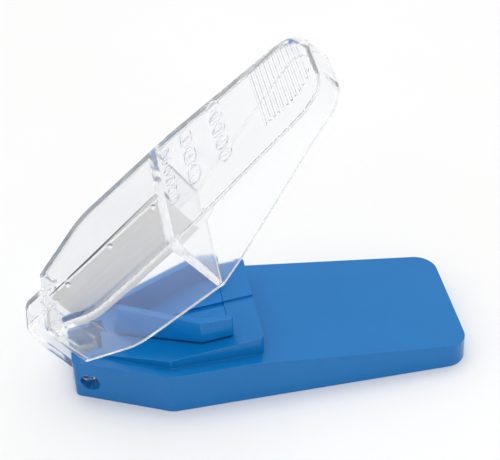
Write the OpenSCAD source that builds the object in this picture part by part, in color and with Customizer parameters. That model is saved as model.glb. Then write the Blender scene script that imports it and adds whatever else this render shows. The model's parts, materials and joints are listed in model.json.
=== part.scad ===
// Tablet splitter: a wedge-shaped base with a raised cutting platform, a V-shaped pill
// holder set into it, and a clear hinged lid that carries the blade.
// X runs from the hinge to the free end, Y across, Z up. The origin is the middle of the
// base's underside. The lid is drawn open, as it stands on a table.

/* [Base] */
// Length of the base
base_len = 91; // [86:0.5:96]
// Width of the base at its shoulders, the widest place
base_w = 36; // [35.6:0.2:40]
// Width of the base at the free end
base_end_w = 33.4; // [30:0.2:35]
// Width of the base at the hinge end
base_hinge_w = 15.6; // [15:0.1:17]
// Distance from the hinge end to the shoulders
shoulder_at = 21.2; // [20:0.1:22]
// Height of the deck at the hinge end
deck_hinge_h = 10.2; // [9.6:0.1:10.3]
// Height of the deck at its crest, just ahead of the platform's end
deck_crest_h = 10.8; // [10:0.1:11]
// Height of the deck at the free end
deck_end_h = 5.8; // [5.6:0.1:7]
// Distance from the hinge end to the deck's crest
crest_at = 40.4; // [38:0.2:42]
// Wall thickness of the base moulding
base_wall = 1.8; // [1.4:0.1:2]
// Thickness of the deck over the hollow underside
deck_t = 1.5; // [1.2:0.1:1.6]

/* [Platform] */
// Width of the platform at its shoulders
platform_w = 30; // [28:0.2:30.2]
// Width of the platform at its end
platform_end_w = 29.2; // [28:0.2:29.4]
// Distance from the base's hinge end to the platform's shoulders
platform_shoulder_at = 21.8; // [21:0.1:22.4]
// Distance from the base's hinge end to the platform's end
platform_end_at = 43.4; // [42:0.2:44]
// Height of the platform at its end
platform_end_h = 15.4; // [14.5:0.1:15.6]
// Upward slope of the platform's top, in degrees
platform_slope = 6.8; // [5:0.1:7.5]

/* [Pill holder] */
// Half angle of the V between its arms, in degrees
vee_half_angle = 28; // [26:0.5:29]
// Distance from the base's hinge end to the holder's narrow end
holder_start_at = 10.3; // [10:0.1:10.8]
// Distance from the base's hinge end to the free ends of the arms
holder_end_at = 36.9; // [36:0.2:37.5]
// Width over the arms where they run straight
holder_w = 23.4; // [22:0.2:24]
// Height of the arms' level tops above the underside
arm_top_h = 19.8; // [18.8:0.1:20.2]
// Thickness of the arms
arm_t = 1.7; // [1.3:0.1:2]
// Depth of the holder's foot in the platform
holder_foot_t = 1.5; // [1.2:0.1:1.6]
// Depth of the undercut round the outside of the holder's foot
holder_undercut = 0.6; // [0.4:0.05:0.7]
// Height of that undercut above the platform
undercut_h = 0.35; // [0.2:0.05:0.4]
// Width of the slot in the holder and platform that the blade drops into
blade_slot = 1.6; // [1.2:0.1:2]

/* [Lid] */
// Angle of the open lid above level, in degrees
lid_open = 41.6; // [35:1:60]
// Height of the top plate's outer face over the hinge axis
plate_h = 19.2; // [18.6:0.1:20]
// Thickness of the top plate
plate_t = 1.5; // [1.3:0.1:1.7]
// Thickness of the skirts and the cross wall
skirt_t = 1.3; // [1.1:0.1:1.4]
// Distance from the hinge axis to the grip end
lid_reach = 90.2; // [86:0.2:92]
// Width of the lid at its shoulders
lid_w = 35.2; // [35.1:0.1:35.8]
// Width of the lid over the cross wall, where its sides begin to draw in
lid_waist_w = 34.8; // [34.2:0.1:35]
// Width that the sides would reach at the grip end
lid_end_w = 26.6; // [25:0.2:28]
// Rounding along the plate's edges
edge_r = 1.5; // [1:0.1:2]
// Radius of the lid's grip-end corners
grip_r = 9.5; // [6:0.5:11]
// Distance from the hinge axis to the middle of the cross wall
cross_wall_at = 44.1; // [43.8:0.1:45]
// Number of finger ridges on the grip
ridge_count = 11; // [3:1:11]
// Spacing of the finger ridges
ridge_pitch = 1.24; // [1.1:0.01:1.3]

/* [Hinge] */
// Distance from the base's hinge end to the hinge axis
hinge_at = 3.5; // [3.4:0.05:3.7]
// Height of the hinge axis
hinge_h = 4.8; // [4.7:0.05:5]
// Diameter of the stub pins
pin_d = 4.2; // [4:0.05:4.7]
// Radial clearance of the stub pins in their bores
pin_gap = 0.07; // [0.05:0.01:0.09]
// Width of the lid's hinge leg
leg_w = 8; // [7.6:0.1:9]

/* [Blade] */
// Length of the blade
blade_len = 34.8; // [34:0.2:34.8]
// Height of the blade
blade_h = 11; // [10:0.1:11]
// Thickness of the blade
blade_t = 0.3; // [0.25:0.05:0.4]
// Height of the ground bevel along the cutting edge
edge_h = 1.2; // [0.8:0.1:1.5]
// Diameter of the stakes that hold the blade
stake_d = 1.2; // [1:0.1:1.4]

/* [Hidden] */
$fn = 64;

BLUE = [0.11, 0.40, 0.70];
CLEAR = [0.85, 0.90, 0.94, 0.45];
STEEL = [0.72, 0.73, 0.74];

hinge_end = -base_len / 2;
free_end = base_len / 2;
hinge_x = hinge_end + hinge_at;
bore_d = pin_d + 2 * pin_gap;
over = 1;

// Corners of the base's outline, from the hinge end round the near side
base_outline = [
    [hinge_end, -base_hinge_w / 2],
    [hinge_end + shoulder_at, -base_w / 2],
    [free_end, -base_end_w / 2],
    [free_end, base_end_w / 2],
    [hinge_end + shoulder_at, base_w / 2],
    [hinge_end, base_hinge_w / 2]
];
base_radii = [1.5, 5, 5, 5, 5, 1.5];

// The platform's sides run parallel to the base's shoulders
platform_start_at = 5;
platform_x = hinge_end + platform_end_at;
platform_flare = 0.5;
platform_start_w = platform_w - 2 * platform_flare * (platform_shoulder_at - platform_start_at);
platform_outline = [
    [hinge_end + platform_start_at, -platform_start_w / 2],
    [hinge_end + platform_shoulder_at, -platform_w / 2],
    [platform_x, -platform_end_w / 2],
    [platform_x, platform_end_w / 2],
    [hinge_end + platform_shoulder_at, platform_w / 2],
    [hinge_end + platform_start_at, platform_start_w / 2]
];
platform_radii = [1, 1.2, 1.2, 1.2, 1.2, 1];

// The slot in the hinge end that the lid's leg swings in
fork_gap = 0.3;
fork_w = leg_w + 2 * fork_gap;
fork_len = 7.6;
stop_bar_t = 1.3;
stop_bar_h = 2.2;

// Hollow underside
cavity_start = hinge_end + fork_len + base_wall;
rib_t = 1.4;
rib_at = [46.5, 68.5];

// Pill holder
holder_x0 = hinge_end + holder_start_at;
holder_x1 = hinge_end + holder_end_at;
holder_start_w = 3;
holder_shoulder_x = holder_x0 + (holder_w - holder_start_w) / 2 / tan(vee_half_angle);
holder_outline = [
    [holder_x0, -holder_start_w / 2],
    [holder_shoulder_x, -holder_w / 2],
    [holder_x1, -holder_w / 2],
    [holder_x1, holder_w / 2],
    [holder_shoulder_x, holder_w / 2],
    [holder_x0, holder_start_w / 2]
];
holder_radii = [2.4, 0.5, 0.5, 0.5, 0.5, 2.4];
groove_depth = 0.8;
platform_groove = 0.5;
seat_clearance = 0.05;
seat_end = holder_x1 - holder_undercut + seat_clearance;
seat_outline = [
    holder_outline[0],
    holder_outline[1],
    [seat_end, -holder_w / 2],
    [seat_end, holder_w / 2],
    holder_outline[4],
    holder_outline[5]
];

// Lid, in its own frame: X along the plate from the hinge axis, Z out through the plate
plate_start = 6.4;
skirt_start = 4;
skirt_foot = 5.2;
lid_shoulder_at = 20;
lid_flare = 0.5;
lid_start_w = lid_w - 2 * lid_flare * (lid_shoulder_at - skirt_start);
lid_waist_at = 50;
lid_outline = [
    [skirt_start, -lid_start_w / 2],
    [lid_shoulder_at, -lid_w / 2],
    [lid_waist_at, -lid_waist_w / 2],
    [lid_reach, -lid_end_w / 2],
    [lid_reach, lid_end_w / 2],
    [lid_waist_at, lid_waist_w / 2],
    [lid_shoulder_at, lid_w / 2],
    [skirt_start, lid_start_w / 2]
];
lid_radii = [0.8, 15, 15, grip_r, grip_r, 15, 15, 0.8];
plate_under = plate_h - plate_t;
edge_steps = [45, 90];
leg_t = 1.1;
leg_front = 3.6;
leg_back = 2.4;
leg_top_back = 1.2;
leg_top_drop = 2.6;
leg_lap = 4;
barrel_r = 3;
pin_reach = 6.4;
ridge_start = 74.7;
ridge_w = 0.55;
ridge_proud = 0.35;
ridge_root = 0.2;
ridge_margin = 3.5;
ridge_centre = 1.2;

// The skirts' lower edge, from the hinge end to the grip
skirt_low_edge = [
    [skirt_start, skirt_foot],
    [22, 4.3],
    [cross_wall_at - 0.6, 1.9],
    [82.5, 12.6],
    [lid_reach + over, 12.6]
];

// A rib under the plate's hinge end
end_rib_t = 1;
end_rib_h = 2.5;

// The cross wall leans towards the hinge and thins towards its foot
wall_foot = 2.2;
wall_foot_t = 1.4;
wall_top_t = 2.4;
wall_lean = 1.5;
wall_top = plate_h - plate_t / 2;

// Blade, its hinge end raked back
blade_x0 = 7.9;
blade_top = plate_under - 0.5;
blade_rake = 5;
blade_nose = 1.5;
blade_end_lean = 4;
stake_at = [5.2, 19.1, 32.9];
stake_drop = 0.3;
rail_h = 2.6;
rail_t = [0.5, 2.2];
hole_gap = 0.05;

// Geometry of rounded and inset convex outlines
function unit(v) = v / norm(v);
function previous(p, i) = p[(i + len(p) - 1) % len(p)];
function following(p, i) = p[(i + 1) % len(p)];
function half_angle(p, i) =
    let (a = unit(previous(p, i) - p[i]), b = unit(following(p, i) - p[i]))
    acos(a * b) / 2;
function inward(p, i) =
    unit(unit(previous(p, i) - p[i]) + unit(following(p, i) - p[i]));
function inset_point(p, i, d) = p[i] + inward(p, i) * d / sin(half_angle(p, i));
function inset(p, d) = [for (i = [0:len(p) - 1]) inset_point(p, i, d)];
function less(radii, d) = [for (r = radii) max(r - d, 0.3)];
function side_point(p, i, toward, r) =
    p[i] + unit(toward - p[i]) * r / tan(half_angle(p, i));

// A convex outline with each corner rounded to its own radius
module rounded(p, radii) {
    n = len(p);
    polygon([
        for (i = [0:n - 1])
            for (q = [previous(p, i), following(p, i)])
                side_point(p, i, q, radii[i])
    ]);
    for (i = [0:n - 1])
        translate(inset_point(p, i, radii[i]))
            circle(r = radii[i]);
}

// A side view, points in X and Z, made into a solid across the width
module across(width) {
    rotate([90, 0, 0])
        linear_extrude(width, center = true)
            children();
}

function deck_z(x) =
    x < hinge_end + crest_at
        ? deck_hinge_h + (deck_crest_h - deck_hinge_h) * (x - hinge_end) / crest_at
        : deck_crest_h - (deck_crest_h - deck_end_h)
            * (x - hinge_end - crest_at) / (base_len - crest_at);
function platform_z(x) = platform_end_h - (platform_x - x) * tan(platform_slope);

// The deck's side view, lowered by d
module deck_profile(d) {
    polygon([
        [hinge_end - over, -over],
        [hinge_end - over, deck_hinge_h - d],
        [hinge_end + crest_at, deck_crest_h - d],
        [free_end + over, deck_z(free_end + over) - d],
        [free_end + over, -over]
    ]);
}

module deck_body() {
    intersection() {
        linear_extrude(deck_crest_h + over)
            rounded(base_outline, base_radii);
        across(base_w + over)
            deck_profile(0);
    }
}

module platform_body() {
    x0 = hinge_end + platform_start_at - over;
    x1 = platform_x + over;
    intersection() {
        translate([0, 0, deck_end_h])
            linear_extrude(platform_end_h)
                rounded(platform_outline, platform_radii);
        across(platform_w + over)
            polygon([
                [x0, deck_end_h],
                [x0, platform_z(x0)],
                [x1, platform_z(x1)],
                [x1, deck_end_h]
            ]);
    }
}

module underside_hollow() {
    difference() {
        intersection() {
            translate([0, 0, -over])
                linear_extrude(deck_crest_h)
                    rounded(inset(base_outline, base_wall), less(base_radii, base_wall));
            across(base_w)
                deck_profile(deck_t);
            translate([cavity_start, -base_w / 2, -over])
                cube([base_len, base_w, deck_crest_h + over]);
        }
        translate([cavity_start - over, -rib_t / 2, -over])
            cube([base_len, rib_t, deck_crest_h + 2 * over]);
        for (at = rib_at)
            translate([hinge_end + at - rib_t / 2, -base_w / 2, -over])
                cube([rib_t, base_w, deck_crest_h + 2 * over]);
    }
}

// Cut for the lid's leg, which leaves a low bar across the hinge end as its stop
module fork_slot() {
    translate([hinge_end + stop_bar_t, -fork_w / 2, -over])
        cube([fork_len - stop_bar_t, fork_w, platform_end_h + over]);
    translate([hinge_end - over, -fork_w / 2, stop_bar_h])
        cube([fork_len, fork_w, platform_end_h]);
}

// An upright prism from a depth below the platform's sloping top to a level top
module from_platform(depth, top) {
    intersection() {
        linear_extrude(top)
            children();
        across(base_w)
            polygon([
                [hinge_end, platform_z(hinge_end) - depth],
                [platform_x, platform_z(platform_x) - depth],
                [platform_x, top],
                [hinge_end, top]
            ]);
    }
}

module base() {
    color(BLUE)
    difference() {
        union() {
            deck_body();
            platform_body();
        }
        underside_hollow();
        fork_slot();
        from_platform(holder_foot_t, platform_end_h + over)
            rounded(seat_outline, holder_radii);
        from_platform(platform_groove, platform_end_h + over)
            translate([seat_end - over, -blade_slot / 2])
                square([base_len, blade_slot]);
        translate([hinge_x, 0, hinge_h])
            rotate([90, 0, 0])
                cylinder(d = bore_d, h = base_w, center = true);
    }
}

module pill_holder() {
    inner = inset(holder_outline, arm_t);
    color(BLUE)
    difference() {
        union() {
            from_platform(-undercut_h, arm_top_h)
                rounded(holder_outline, holder_radii);
            from_platform(holder_foot_t, arm_top_h)
                rounded(inset(holder_outline, holder_undercut), less(holder_radii, holder_undercut));
        }
        from_platform(0, arm_top_h + over)
            polygon([
                inner[0],
                inner[1],
                inner[2] + [2 * arm_t, 0],
                inner[3] + [2 * arm_t, 0],
                inner[4],
                inner[5]
            ]);
        from_platform(groove_depth, arm_top_h + over)
            translate([holder_x0 - over, -blade_slot / 2])
                square([base_len, blade_slot]);
    }
}

// Places a lid part from the lid's own frame into the open pose
module on_lid() {
    translate([hinge_x, 0, hinge_h])
        rotate([0, -lid_open, 0])
            children();
}

// A level slice of the lid's form, inset by d, from z0 to z1
module lid_slice(d, z0, z1) {
    translate([0, 0, z0])
        linear_extrude(z1 - z0)
            rounded(inset(lid_outline, d), less(lid_radii, d), $fn = 32);
}

// The lid's outer form, or its hollow when d and drop are not zero
module lid_form(d, drop) {
    side_top = plate_h - drop - edge_r;
    hull() {
        lid_slice(d, -over, side_top);
        for (a = edge_steps)
            lid_slice(d + edge_r * (1 - cos(a)), side_top, side_top + edge_r * sin(a));
    }
}

// Side view of the lid: deep over the platform, then rising towards the grip
module lid_profile() {
    polygon(concat(
        skirt_low_edge,
        [[lid_reach + over, plate_h + over], [plate_start, plate_h + over]]
    ));
}

// Side view of the hinge leg: back along the plate, down behind the axis
module leg_profile(d) {
    polygon([
        [plate_start + leg_lap, plate_h - d],
        [leg_top_drop - leg_top_back, plate_h - d],
        [(d - leg_top_back / 2) / 3, plate_h - leg_top_drop / 3 - d],
        [d - leg_top_back, plate_h - leg_top_drop - d / 3],
        [d - leg_back, barrel_r],
        [d - leg_back, 0],
        [leg_front, 0],
        [leg_front, plate_under - leg_t],
        [plate_start + leg_lap, plate_under - plate_t / 4]
    ]);
}

module leg() {
    difference() {
        across(leg_w)
            leg_profile(0);
        across(leg_w - 2 * leg_t)
            leg_profile(leg_t);
        across(leg_w - 2 * leg_t)
            polygon([
                [leg_front - over, -over],
                [leg_front + over, -over],
                [plate_start + leg_lap + over, plate_under],
                [leg_front - over, plate_under]
            ]);
    }
    rotate([90, 0, 0])
        cylinder(r = barrel_r, h = leg_w, center = true);
    rotate([90, 0, 0])
        cylinder(d = pin_d, h = 2 * pin_reach, center = true);
}

module finger_ridges() {
    for (i = [0:ridge_count - 1]) {
        x = ridge_start + i * ridge_pitch;
        into = max(x - (lid_reach - grip_r), 0);
        half = lid_end_w / 2 - ridge_margin - (grip_r - sqrt(grip_r * grip_r - into * into));
        translate([x - ridge_w / 2, ridge_centre - half, plate_h - ridge_root])
            cube([ridge_w, 2 * half, ridge_proud + ridge_root]);
    }
}

// The rail behind the blade, which thickens towards the cross wall, and its stakes
module blade_rail() {
    rail_end = cross_wall_at;
    translate([0, 0, plate_under - rail_h])
        linear_extrude(rail_h + 0.2)
            polygon([
                [blade_x0, blade_t / 2],
                [rail_end, blade_t / 2],
                [rail_end, rail_t[1]],
                [blade_x0, rail_t[0]]
            ]);
    for (at = stake_at)
        translate([blade_x0 + at, rail_t[0], blade_top - stake_drop])
            rotate([90, 0, 0])
                cylinder(d = stake_d, h = rail_t[0] + blade_t / 2 + 0.4, $fn = 32);
}

module cross_wall() {
    intersection() {
        across(lid_w)
            polygon([
                [cross_wall_at - wall_lean - wall_foot_t / 2, wall_foot],
                [cross_wall_at - wall_lean + wall_foot_t / 2, wall_foot],
                [cross_wall_at + wall_top_t / 2, wall_top],
                [cross_wall_at - wall_top_t / 2, wall_top]
            ]);
        lid_form(skirt_t / 2, plate_t / 2);
    }
}

module end_rib() {
    half = lid_start_w / 2 + lid_flare * (plate_start - skirt_start) - skirt_t / 2;
    translate([plate_start, -half, plate_under - end_rib_h])
        cube([end_rib_t, 2 * half, end_rib_h + plate_t / 2]);
}

module lid() {
    open_w = lid_start_w - 2 * skirt_t;
    color(CLEAR)
    on_lid() {
        difference() {
            intersection() {
                lid_form(0, 0);
                across(lid_w + over)
                    lid_profile();
            }
            lid_form(skirt_t, plate_t);
            translate([-over, -open_w / 2, -over])
                cube([plate_start + 3, open_w, plate_under + over]);
        }
        cross_wall();
        end_rib();
        blade_rail();
        finger_ridges();
        leg();
    }
}

// The blade's side view, its ends raked
module blade_outline() {
    foot = blade_top - blade_h;
    polygon([
        [blade_x0, blade_top],
        [blade_x0 - (blade_h - blade_nose) * tan(blade_rake), foot + blade_nose],
        [blade_x0 - blade_h * tan(blade_rake) + blade_nose, foot],
        [blade_x0 + blade_len - blade_h * tan(blade_end_lean), foot],
        [blade_x0 + blade_len, blade_top]
    ]);
}

module blade() {
    color(STEEL)
    on_lid()
        difference() {
            intersection() {
                across(blade_t)
                    blade_outline();
                rotate([90, 0, 90])
                    linear_extrude(lid_reach)
                        polygon([
                            [-blade_t / 2, blade_top + over],
                            [-blade_t / 2, blade_top - blade_h + edge_h],
                            [0, blade_top - blade_h],
                            [blade_t / 2, blade_top - blade_h + edge_h],
                            [blade_t / 2, blade_top + over]
                        ]);
            }
            for (at = stake_at)
                translate([blade_x0 + at, 0, blade_top - stake_drop])
                    rotate([90, 0, 0])
                        cylinder(d = stake_d + 2 * hole_gap, h = 4, center = true, $fn = 32);
        }
}

base();
pill_holder();
lid();
blade();
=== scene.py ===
"""Looks for the tablet splitter: finer meshes for each moulding, materials, light and camera."""

import json
import math

import bmesh
import bpy
from mathutils import Matrix, Vector


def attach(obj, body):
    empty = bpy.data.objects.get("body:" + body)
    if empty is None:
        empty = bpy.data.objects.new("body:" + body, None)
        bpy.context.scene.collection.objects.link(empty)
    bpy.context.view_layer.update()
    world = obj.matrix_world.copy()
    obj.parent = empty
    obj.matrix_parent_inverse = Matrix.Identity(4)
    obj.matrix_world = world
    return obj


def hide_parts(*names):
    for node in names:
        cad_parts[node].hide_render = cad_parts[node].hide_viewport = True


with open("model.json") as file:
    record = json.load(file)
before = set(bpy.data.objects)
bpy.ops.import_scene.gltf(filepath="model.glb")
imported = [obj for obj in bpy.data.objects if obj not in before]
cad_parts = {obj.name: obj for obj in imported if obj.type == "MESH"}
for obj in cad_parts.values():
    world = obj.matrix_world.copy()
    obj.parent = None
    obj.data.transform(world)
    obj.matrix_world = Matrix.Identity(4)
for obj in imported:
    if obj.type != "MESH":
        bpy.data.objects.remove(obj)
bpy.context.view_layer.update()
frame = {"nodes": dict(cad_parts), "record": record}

MM = 0.001
HINGE = next(j for j in frame["record"]["behaviour"]["joints"] if j["name"] == "lid_hinge")
HINGE_POINT = Vector(HINGE["pos_m"])


# ---------------------------------------------------------------- camera, lights and floor

# The camera turns about a point just behind the lid, seen from the hinge side and above
CAMERA_AZIMUTH = -8.2
CAMERA_ELEVATION = 38.16
CAMERA_ROLL = -2.78
CAMERA_DISTANCE = 350.7 * MM
CAMERA_TARGET = Vector((0, 14.63, 23.43)) * MM
SENSOR_WIDTH = 36
LENS = 106.65
CLIP_START = 10 * MM
CLIP_END = 10

LAMP_TARGET = Vector((0, 0, 20 * MM))
FLOOR_REACH = 3.0

# The surround brightens along this direction, from its dim colour to its bright one
WORLD_LEAN = (0, 0.6, 0.8)
WORLD_DIM = (0.80, 0.81, 0.83)
WORLD_BRIGHT = (0.94, 0.94, 0.94)
WORLD_BRIGHT_AT = 0.8
WORLD_STRENGTH = 0.91

# The clear lid needs a long path of rays
MAX_BOUNCES = 24
GLOSSY_BOUNCES = 16


def looking(azimuth, elevation, roll=0):
    """Rotation of a camera or lamp that looks down its own -Z, as seen from that azimuth and elevation."""
    turn = Matrix.Rotation(math.radians(azimuth), 4, "Z")
    tilt = Matrix.Rotation(math.radians(90 - elevation), 4, "X")
    spin = Matrix.Rotation(math.radians(roll), 4, "Z")
    return turn @ tilt @ spin


def placed(azimuth, elevation, distance, target, roll=0):
    """A matrix at that distance from target, looking at it."""
    spin = looking(azimuth, elevation, roll)
    back = spin.to_3x3() @ Vector((0, 0, 1))
    return Matrix.Translation(target + back * distance) @ spin


def make_camera():
    """The camera that stands where the photo was taken from."""
    data = bpy.data.cameras.new("camera")
    data.sensor_width = SENSOR_WIDTH
    data.lens = LENS
    data.clip_start = CLIP_START
    data.clip_end = CLIP_END
    camera = bpy.data.objects.new("camera", data)
    camera.matrix_world = placed(
        CAMERA_AZIMUTH, CAMERA_ELEVATION, CAMERA_DISTANCE, CAMERA_TARGET, CAMERA_ROLL
    )
    bpy.context.scene.collection.objects.link(camera)
    bpy.context.scene.camera = camera


def softbox(name, azimuth, elevation, distance, size, watts):
    """A white rectangular lamp that looks at the object from that azimuth and elevation."""
    data = bpy.data.lights.new(name, "AREA")
    data.shape = "RECTANGLE"
    data.size, data.size_y = size
    data.energy = watts
    lamp = bpy.data.objects.new(name, data)
    lamp.matrix_world = placed(azimuth, elevation, distance, LAMP_TARGET)
    bpy.context.scene.collection.objects.link(lamp)


def make_lamps():
    softbox("key", azimuth=168, elevation=76, distance=0.9, size=(0.8, 0.6), watts=2.05)
    softbox("side", azimuth=9, elevation=50, distance=1.1, size=(0.36, 0.22), watts=1.3)


def make_world():
    """A pale light tent, brighter behind and overhead than in front."""
    world = bpy.data.worlds.new("studio")
    world.use_nodes = True
    tree = world.node_tree
    where = tree.nodes.new("ShaderNodeTexCoord")
    lean = tree.nodes.new("ShaderNodeVectorMath")
    lean.operation = "DOT_PRODUCT"
    lean.inputs[1].default_value = WORLD_LEAN
    band = tree.nodes.new("ShaderNodeValToRGB")
    band.color_ramp.elements[0].position = 0
    band.color_ramp.elements[0].color = (*WORLD_DIM, 1)
    band.color_ramp.elements[1].position = WORLD_BRIGHT_AT
    band.color_ramp.elements[1].color = (*WORLD_BRIGHT, 1)
    tree.links.new(where.outputs["Generated"], lean.inputs[0])
    tree.links.new(lean.outputs["Value"], band.inputs["Fac"])
    tree.links.new(band.outputs["Color"], tree.nodes["Background"].inputs["Color"])
    tree.nodes["Background"].inputs["Strength"].default_value = WORLD_STRENGTH
    bpy.context.scene.world = world


def make_floor():
    """A plain square floor under the object."""
    mesh = bpy.data.meshes.new("floor")
    signs = [(-1, -1), (1, -1), (1, 1), (-1, 1)]
    corners = [(x * FLOOR_REACH, y * FLOOR_REACH, 0) for x, y in signs]
    mesh.from_pydata(corners, [], [(0, 1, 2, 3)])
    mesh.materials.append(floor_paper())
    floor = bpy.data.objects.new("floor", mesh)
    bpy.context.scene.collection.objects.link(floor)


# ---------------------------------------------------------------- materials


def new_material(name):
    """A new material with its node tree and its main shader."""
    material = bpy.data.materials.new(name)
    material.use_nodes = True
    tree = material.node_tree
    return material, tree, tree.nodes["Principled BSDF"]


def noise(tree, scale, detail=3, rough=0.5, stretch=None, turn=0):
    """A noise texture in the frame's own metres; stretch scales its axes and turn rotates it about Y."""
    where = tree.nodes.new("ShaderNodeTexCoord")
    mapping = tree.nodes.new("ShaderNodeMapping")
    mapping.vector_type = "TEXTURE"
    mapping.inputs["Rotation"].default_value = (0, turn, 0)
    mapping.inputs["Scale"].default_value = stretch or (1, 1, 1)
    texture = tree.nodes.new("ShaderNodeTexNoise")
    texture.inputs["Scale"].default_value = scale
    texture.inputs["Detail"].default_value = detail
    texture.inputs["Roughness"].default_value = rough
    tree.links.new(where.outputs["Object"], mapping.inputs["Vector"])
    tree.links.new(mapping.outputs["Vector"], texture.inputs["Vector"])
    return texture.outputs["Fac"]


def ramp(tree, source, low, high, at=(0.35, 0.65)):
    """A colour ramp between two colours, over the middle of a noise's range."""
    node = tree.nodes.new("ShaderNodeValToRGB")
    node.color_ramp.elements[0].position, node.color_ramp.elements[1].position = at
    node.color_ramp.elements[0].color = (*low, 1)
    node.color_ramp.elements[1].color = (*high, 1)
    tree.links.new(source, node.inputs["Fac"])
    return node.outputs["Color"]


def spread(tree, source, low, high, at=(0.3, 0.7)):
    """A number between low and high that follows a noise."""
    node = tree.nodes.new("ShaderNodeMapRange")
    node.inputs["From Min"].default_value, node.inputs["From Max"].default_value = at
    node.inputs["To Min"].default_value, node.inputs["To Max"].default_value = low, high
    tree.links.new(source, node.inputs["Value"])
    return node.outputs["Result"]


def bump(tree, shader, source, depth, strength):
    """Relief of that depth on a shader, from a noise."""
    node = tree.nodes.new("ShaderNodeBump")
    node.inputs["Strength"].default_value = strength
    node.inputs["Distance"].default_value = depth
    tree.links.new(source, node.inputs["Height"])
    tree.links.new(node.outputs["Normal"], shader.inputs["Normal"])


def floor_paper():
    """Matt warm-white paper with faint mottling."""
    material, tree, shader = new_material("floor_paper")
    tree.links.new(
        ramp(tree, noise(tree, 6), (0.90, 0.895, 0.885), (0.93, 0.93, 0.925)),
        shader.inputs["Base Color"],
    )
    shader.inputs["Roughness"].default_value = 0.75
    shader.inputs["Specular IOR Level"].default_value = 0.2
    return material


def moulded_plastic(name, dark, light, flow_scale):
    """Satin injection-moulded plastic: faint flow mottling, a fine eroded grain and slightly uneven gloss."""
    material, tree, shader = new_material(name)
    flow = noise(tree, flow_scale, detail=4)
    tree.links.new(ramp(tree, flow, dark, light), shader.inputs["Base Color"])
    tree.links.new(
        spread(tree, noise(tree, 260, detail=5), 0.16, 0.26), shader.inputs["Roughness"]
    )
    shader.inputs["Specular IOR Level"].default_value = 0.36
    shader.inputs["IOR"].default_value = 1.5
    bump(tree, shader, noise(tree, 2600, detail=2), 0.012 * MM, 0.35)
    return material


def clear_plastic():
    """Clear moulded plastic with a faint milky haze. Light passes through it, so its shadow is pale."""
    material, tree, shader = new_material("clear_plastic")
    tree.links.new(
        ramp(tree, noise(tree, 45), (0.985, 0.989, 0.993), (0.992, 0.995, 0.997)),
        shader.inputs["Base Color"],
    )
    tree.links.new(
        spread(tree, noise(tree, 60, detail=2), 0.05, 0.08), shader.inputs["Roughness"]
    )
    shader.inputs["Transmission Weight"].default_value = 1
    shader.inputs["IOR"].default_value = 1.38
    bump(tree, shader, noise(tree, 70, detail=1), 0.04 * MM, 0.1)
    haze = tree.nodes.new("ShaderNodeBsdfTranslucent")
    haze.inputs["Color"].default_value = (0.97, 0.98, 1.0, 1)
    milky = tree.nodes.new("ShaderNodeMixShader")
    tree.links.new(spread(tree, noise(tree, 90, detail=3), 0.045, 0.07), milky.inputs["Fac"])
    open_glass = tree.nodes.new("ShaderNodeBsdfTransparent")
    open_glass.inputs["Color"].default_value = (0.96, 0.967, 0.975, 1)
    path = tree.nodes.new("ShaderNodeLightPath")
    mix = tree.nodes.new("ShaderNodeMixShader")
    tree.links.new(shader.outputs["BSDF"], milky.inputs[1])
    tree.links.new(haze.outputs["BSDF"], milky.inputs[2])
    tree.links.new(path.outputs["Is Shadow Ray"], mix.inputs["Fac"])
    tree.links.new(milky.outputs["Shader"], mix.inputs[1])
    tree.links.new(open_glass.outputs["BSDF"], mix.inputs[2])
    tree.links.new(mix.outputs["Shader"], tree.nodes["Material Output"].inputs["Surface"])
    return material


def ground_steel(turn):
    """Blade steel with fine grinding marks along its length."""
    material, tree, shader = new_material("blade_steel")
    marks = noise(tree, 900, detail=6, rough=0.65, stretch=(14, 1, 1), turn=turn)
    tree.links.new(
        ramp(tree, marks, (0.725, 0.70, 0.66), (0.80, 0.775, 0.735)), shader.inputs["Base Color"]
    )
    tree.links.new(spread(tree, marks, 0.38, 0.52), shader.inputs["Roughness"])
    shader.inputs["Metallic"].default_value = 1
    bump(tree, shader, marks, 0.01 * MM, 0.3)
    return material


# ---------------------------------------------------------------- meshes


# Points closer than WELD become one point, and faces that turn less than FLAT become one face.
# Edges that turn more than ROUNDED_ABOVE are rounded, and more than SHARP_ABOVE are shaded sharp.
WELD = 0.001 * MM
FLAT = math.radians(0.6)
ROUNDED_ABOVE = math.radians(30)
SHARP_ABOVE = math.radians(35)


def refined(node, name, radius, segments):
    """A finer mesh of a CAD node: flat faces joined up, and its clear edges rounded to that radius."""
    source = frame["nodes"][node]
    bm = bmesh.new()
    bm.from_mesh(source.data)
    bm.transform(source.matrix_world)
    bmesh.ops.remove_doubles(bm, verts=bm.verts, dist=WELD)
    bmesh.ops.dissolve_degenerate(bm, dist=WELD, edges=bm.edges)
    bmesh.ops.dissolve_limit(
        bm, angle_limit=FLAT, use_dissolve_boundaries=False, verts=bm.verts, edges=bm.edges,
    )
    edges = [e for e in bm.edges if e.is_manifold and abs(e.calc_face_angle()) > ROUNDED_ABOVE]
    bmesh.ops.bevel(
        bm, geom=edges, offset=radius, offset_type="OFFSET", segments=segments,
        profile=0.5, affect="EDGES", clamp_overlap=True,
    )
    bmesh.ops.recalc_face_normals(bm, faces=bm.faces)
    mesh = bpy.data.meshes.new(name)
    bm.to_mesh(mesh)
    bm.free()
    for face in mesh.polygons:
        face.use_smooth = True
    mesh.set_sharp_from_angle(angle=SHARP_ABOVE)
    piece = bpy.data.objects.new(name, mesh)
    bpy.context.scene.collection.objects.link(piece)
    weighted = piece.modifiers.new("weighted_normals", "WEIGHTED_NORMAL")
    weighted.keep_sharp = True
    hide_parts(node)
    return piece


def finish_piece(piece, body, material):
    """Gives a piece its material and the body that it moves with."""
    piece.data.materials.clear()
    piece.data.materials.append(material)
    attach(piece, body)


# An edge that strays less than this across the lid runs along it
LEVEL = 0.01 * MM
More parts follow.
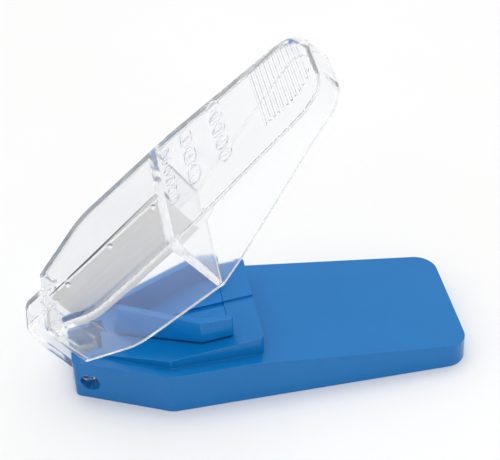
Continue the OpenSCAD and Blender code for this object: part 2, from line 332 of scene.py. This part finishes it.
# The plate is plain up to this distance from the hinge axis
PLAIN_TO = 60 * MM


def lid_frame():
    """The lid's own frame, open: X up the plate from the hinge axis, Y across, Z out of the plate."""
    mesh = frame["nodes"]["blade"].data
    runs = [mesh.vertices[a].co - mesh.vertices[b].co for a, b in (e.vertices for e in mesh.edges)]
    run = max((r for r in runs if abs(r.y) < LEVEL), key=lambda r: r.length)
    open_angle = math.atan2(run.z, run.x) % math.pi
    return Matrix.Translation(HINGE_POINT) @ Matrix.Rotation(-open_angle, 4, "Y")


def plate_top(place):
    """Height of the plate's outer face in the lid's frame, read where the plate is plain."""
    back = place.inverted()
    points = [back @ v.co for v in frame["nodes"]["lid"].data.vertices]
    return max(p.z for p in points if p.x < PLAIN_TO)


# Width of a raised line's top, as a share of its foot
STROKE_TOP = 0.56


def stroke(bm, path, width, low, high, closed=True):
    """A raised line along a path of (x, y) points: a bar with sloping sides from height low to high."""
    count = len(path)
    rings = []
    for i, point in enumerate(path):
        before = path[(i - 1) % count] if closed or i else point
        after = path[(i + 1) % count] if closed or i < count - 1 else point
        along = (Vector(after) - Vector(before)).normalized()
        side = Vector((-along.y, along.x))
        here = Vector(point)
        edges = [(-0.5, low), (0.5, low), (STROKE_TOP / 2, high), (-STROKE_TOP / 2, high)]
        rings.append([bm.verts.new((*(here + side * width * s), z)) for s, z in edges])
    last = count if closed else count - 1
    for i in range(last):
        one, two = rings[i], rings[(i + 1) % count]
        for k in range(4):
            bm.faces.new((one[k], two[k], two[(k + 1) % 4], one[(k + 1) % 4]))
    if not closed:
        bm.faces.new(rings[0])
        bm.faces.new(reversed(rings[-1]))


def pill_outline(x, y, radius, straight, steps=20):
    """A round tablet's outline, or a capsule's when straight is the length of its middle."""
    points = []
    for i in range(steps):
        turn = 2 * math.pi * (i + 0.5) / steps
        shift = math.copysign(straight / 2, math.sin(turn))
        points.append((x + radius * math.cos(turn), y + shift + radius * math.sin(turn)))
    return points


# Rows of raised tablet and capsule outlines across the plate, in millimetres: distance from the
# hinge axis, radius, straight length of a capsule, spacing and count
PILL_ROWS = [
    (48.0, 1.25, 0.0, 3.5, 6),
    (54.4, 1.6, 2.4, 6.6, 3),
    (63.2, 1.75, 0.0, 4.6, 5),
]
ROW_CENTRE = 2.6
OUTLINE_W = 0.55
SCORE_W = 0.45
SCORE_REACH = 0.62
# The mould's gate mark: distance from the hinge axis, place across and radius
GATE_MARK = (87.6, -3.7, 0.45)
GATE_W = 0.5
# How far the marks stand above the plate and are rooted in it
RAISED = 0.24
ROOTED = 0.3


def raised_marks(place, top):
    """The raised outlines and the gate mark as one mesh object, set on the plate's outer face."""
    bm = bmesh.new()
    for x, radius, straight, pitch, count in PILL_ROWS:
        for i in range(count):
            y = ROW_CENTRE + (i - (count - 1) / 2) * pitch
            stroke(bm, pill_outline(x, y, radius, straight), OUTLINE_W, -ROOTED, RAISED)
            reach = radius * SCORE_REACH
            stroke(bm, [(x - reach, y), (x, y), (x + reach, y)], SCORE_W, -ROOTED, RAISED, closed=False)
    x, y, radius = GATE_MARK
    stroke(bm, pill_outline(x, y, radius, 0), GATE_W, -ROOTED, RAISED)
    bm.transform(Matrix.Scale(MM, 4))
    bm.transform(place @ Matrix.Translation((0, 0, top)))
    bmesh.ops.recalc_face_normals(bm, faces=bm.faces)
    mesh = bpy.data.meshes.new("raised_marks")
    bm.to_mesh(mesh)
    bm.free()
    marks = bpy.data.objects.new("raised_marks", mesh)
    bpy.context.scene.collection.objects.link(marks)
    return marks


def joined(piece, extra):
    """Unites a piece with another mesh object as one solid, and removes the other."""
    union = piece.modifiers.new("union", "BOOLEAN")
    union.operation = "UNION"
    union.solver = "EXACT"
    union.object = extra
    piece.modifiers.move(len(piece.modifiers) - 1, 0)
    view_layer = bpy.context.view_layer
    view_layer.update()
    solid = bpy.data.meshes.new_from_object(piece.evaluated_get(view_layer.depsgraph))
    piece.modifiers.clear()
    piece.data = solid
    bpy.data.objects.remove(extra)


def make_pieces():
    """One finer piece for each CAD node."""
    blue = moulded_plastic("base_blue", (0.001, 0.155, 0.445), (0.002, 0.165, 0.465), 38)
    finish_piece(refined("base", "base_moulding", 0.45 * MM, 3), "base", blue)
    insert = moulded_plastic("holder_blue", (0.001, 0.165, 0.485), (0.002, 0.175, 0.505), 55)
    finish_piece(
        refined("pill_holder", "vee_insert", 0.35 * MM, 3), "base", insert
    )
    place = lid_frame()
    lid = refined("lid", "clear_lid", 0.22 * MM, 2)
    joined(lid, raised_marks(place, plate_top(place)))
    finish_piece(lid, "lid", clear_plastic())
    turn = place.to_euler().y
    finish_piece(
        refined("blade", "steel_blade", 0.04 * MM, 1), "lid", ground_steel(turn)
    )


def set_view():
    """Ray depths for the clear lid, and a plain view transform."""
    cycles = bpy.context.scene.cycles
    cycles.max_bounces = MAX_BOUNCES
    cycles.glossy_bounces = GLOSSY_BOUNCES
    cycles.transmission_bounces = MAX_BOUNCES
    cycles.transparent_max_bounces = MAX_BOUNCES
    view = bpy.context.scene.view_settings
    view.view_transform = "Standard"
    view.look = "None"


set_view()
make_camera()
make_world()
make_floor()
make_lamps()
make_pieces()
